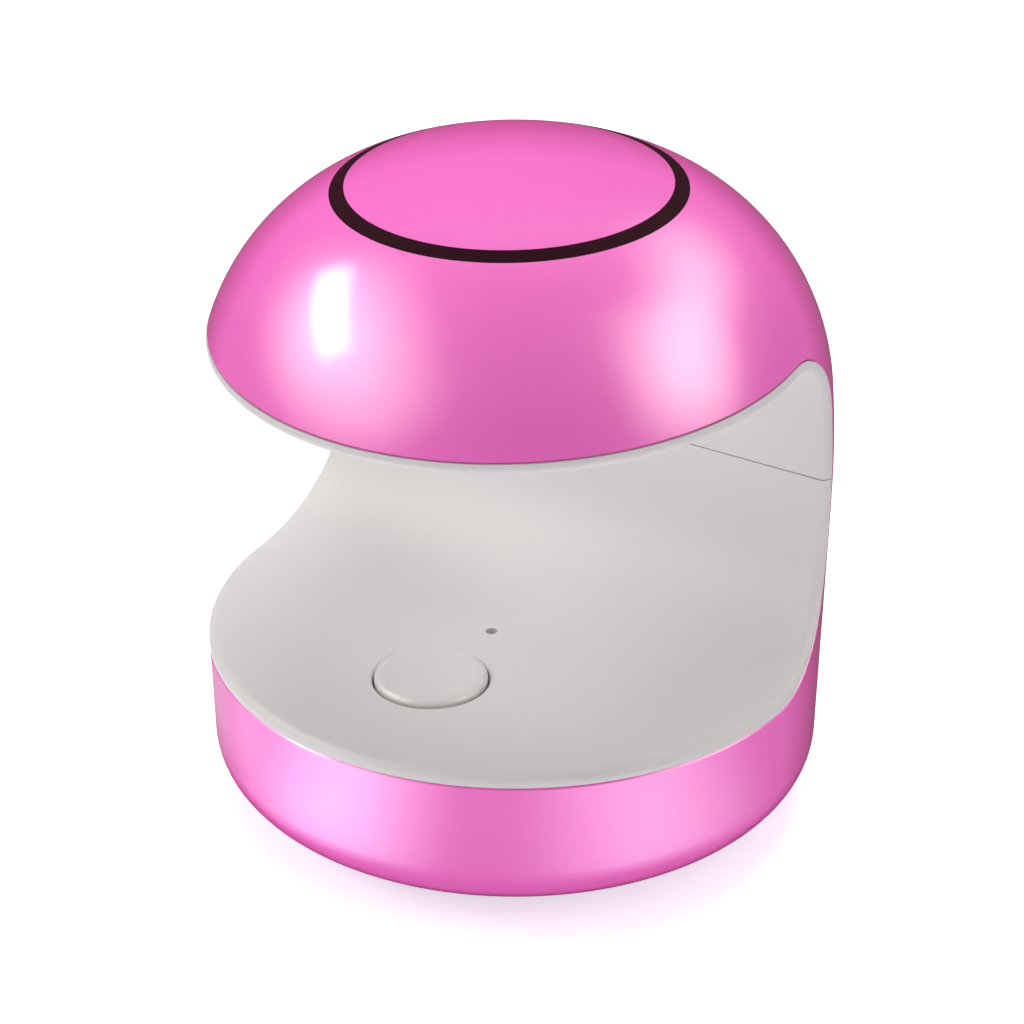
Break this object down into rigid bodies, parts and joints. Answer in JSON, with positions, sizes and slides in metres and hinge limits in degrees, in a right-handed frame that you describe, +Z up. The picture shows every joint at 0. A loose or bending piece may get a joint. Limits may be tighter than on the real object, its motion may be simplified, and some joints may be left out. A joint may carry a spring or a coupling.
{
  "type": "mini nail lamp",
  "caption": "Small domed lamp for curing nail polish: a round base and a domed head joined by a column at the back, with a press button in the floor of the gap.",
  "frame": {"origin": "on the surface that it stands on, under the middle of the round body", "axes": "+Z up, -Y out of the open front, +X to the right as seen from the front"},
  "size_m": [0.091, 0.0915, 0.0995],
  "materials": {
    "pearl_pink": "glossy pearl paint on moulded plastic",
    "warm_white": "satin moulded plastic",
    "dark_plum": "gloss",
    "button_white": "satin moulded plastic",
    "cover_white": "fine matt texture",
    "foot_rubber": "matt",
    "screw_steel": "bright zinc",
    "bright_coating": "metallised plastic",
    "board_aluminium": "white lacquer",
    "lamp_lens": "clear",
    "board_green": "lacquered laminate",
    "part_black": "matt",
    "thin_steel": "bright",
    "clear_plastic": "clear",
    "can_aluminium": "bright",
    "header_white": "natural nylon",
    "pin_brass": "bright",
    "wire_cover": "satin"
  },
  "bodies": {
    "lamp": {"upper_shell": "pearl_pink", "lower_shell": "pearl_pink", "upper_liner": "warm_white", "lower_liner": "warm_white", "trim_ring": "dark_plum", "base_cover": "cover_white", "rubber_feet": "foot_rubber", "base_cover_screws": "screw_steel", "column_screws": "screw_steel", "head_screws": "screw_steel", "control_board_screws": "screw_steel", "led_board_screws": "screw_steel", "reflector": "bright_coating", "led_board": "board_aluminium", "uv_leds": "lamp_lens", "control_board": "board_green", "switch_housing": "part_black", "switch_cover": "thin_steel", "indicator_led": "lamp_lens", "light_pipe": "clear_plastic", "timer_chip": "part_black", "smoothing_capacitor": "can_aluminium", "driver_coil": "part_black", "chip_resistors": "part_black", "usb_shell": "thin_steel", "usb_tongue": "part_black", "board_header": "header_white", "header_pins": "pin_brass", "wire_plug": "header_white", "led_wires": "wire_cover"},
    "button": {"power_button": "button_white"},
    "plunger": {"switch_plunger": "part_black"}
  },
  "joints": [
    {"name": "button_press", "type": "slide", "parent": "lamp", "child": "button", "axis": [0, 0, -1], "range_m": [0, 0.0005], "stiffness_N_per_m": 1500, "springref_m": -0.0002},
    {"name": "plunger_press", "type": "slide", "parent": "lamp", "child": "plunger", "axis": [0, 0, -1], "range_m": [0, 0.0005]}
  ],
  "couplings": [
    {"joint": "plunger_press", "follows": "button_press", "ratio": 1}
  ]
}
